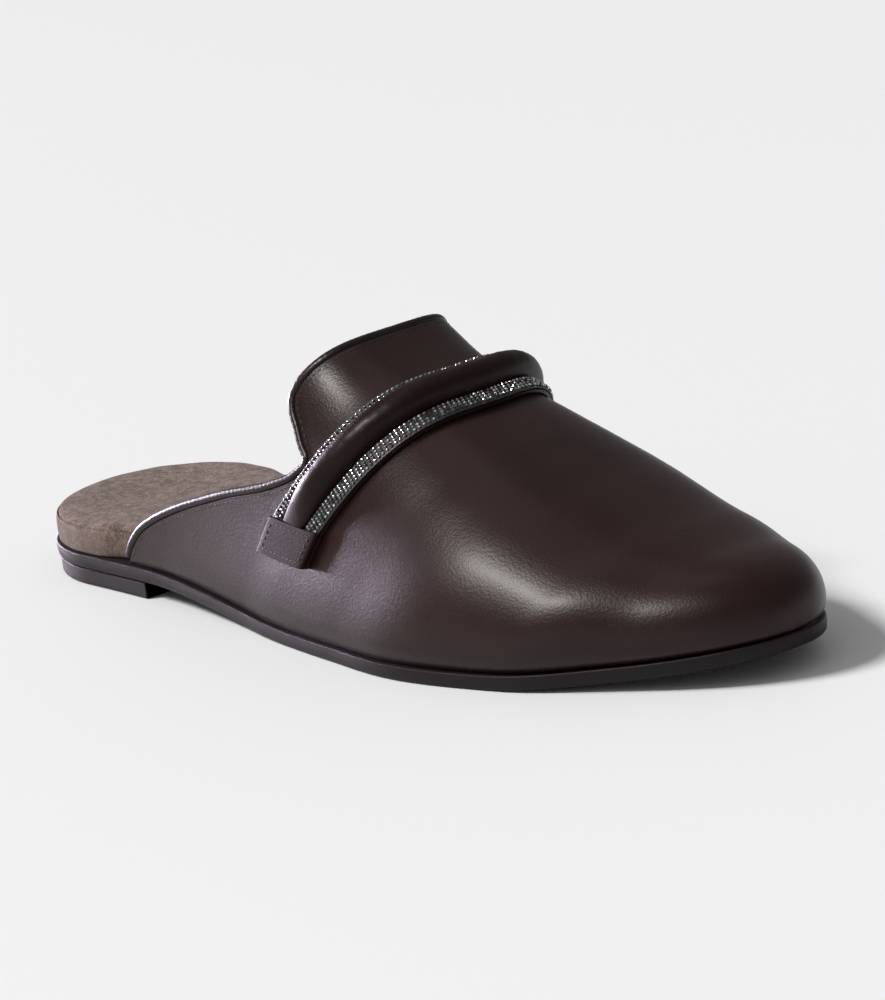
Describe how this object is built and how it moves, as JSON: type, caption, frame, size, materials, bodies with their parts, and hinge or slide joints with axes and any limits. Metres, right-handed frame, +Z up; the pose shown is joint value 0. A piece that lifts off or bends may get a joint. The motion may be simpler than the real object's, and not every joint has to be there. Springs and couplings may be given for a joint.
{
  "type": "babouche slipper",
  "caption": "Backless leather slipper with a tall tongue, a beaded strap with a padded roll, a suede footbed and a low heel.",
  "frame": {"origin": "middle of the footprint's bounding box, on the floor under the heel and the ball", "axes": "+X from heel to toe, +Y towards the inner side of the foot, +Z up"},
  "size_m": [0.2616, 0.0874, 0.0723],
  "materials": {
    "sole_leather": "dark burnished sole leather",
    "suede": "taupe suede with a short nap",
    "upper_leather": "smooth dark brown calf leather, softly polished",
    "beads": "black and silvery faceted beads in close rows"
  },
  "bodies": {
    "root": {"outsole": "sole_leather", "heel": "sole_leather", "footbed": "suede", "upper": "upper_leather", "topline_binding": "upper_leather", "strap_base": "upper_leather", "strap_roll": "upper_leather", "bead_band_rear": "beads", "bead_band_front": "beads", "strap_tab_outer": "upper_leather", "strap_tab_inner": "upper_leather"}
  },
  "joints": []
}
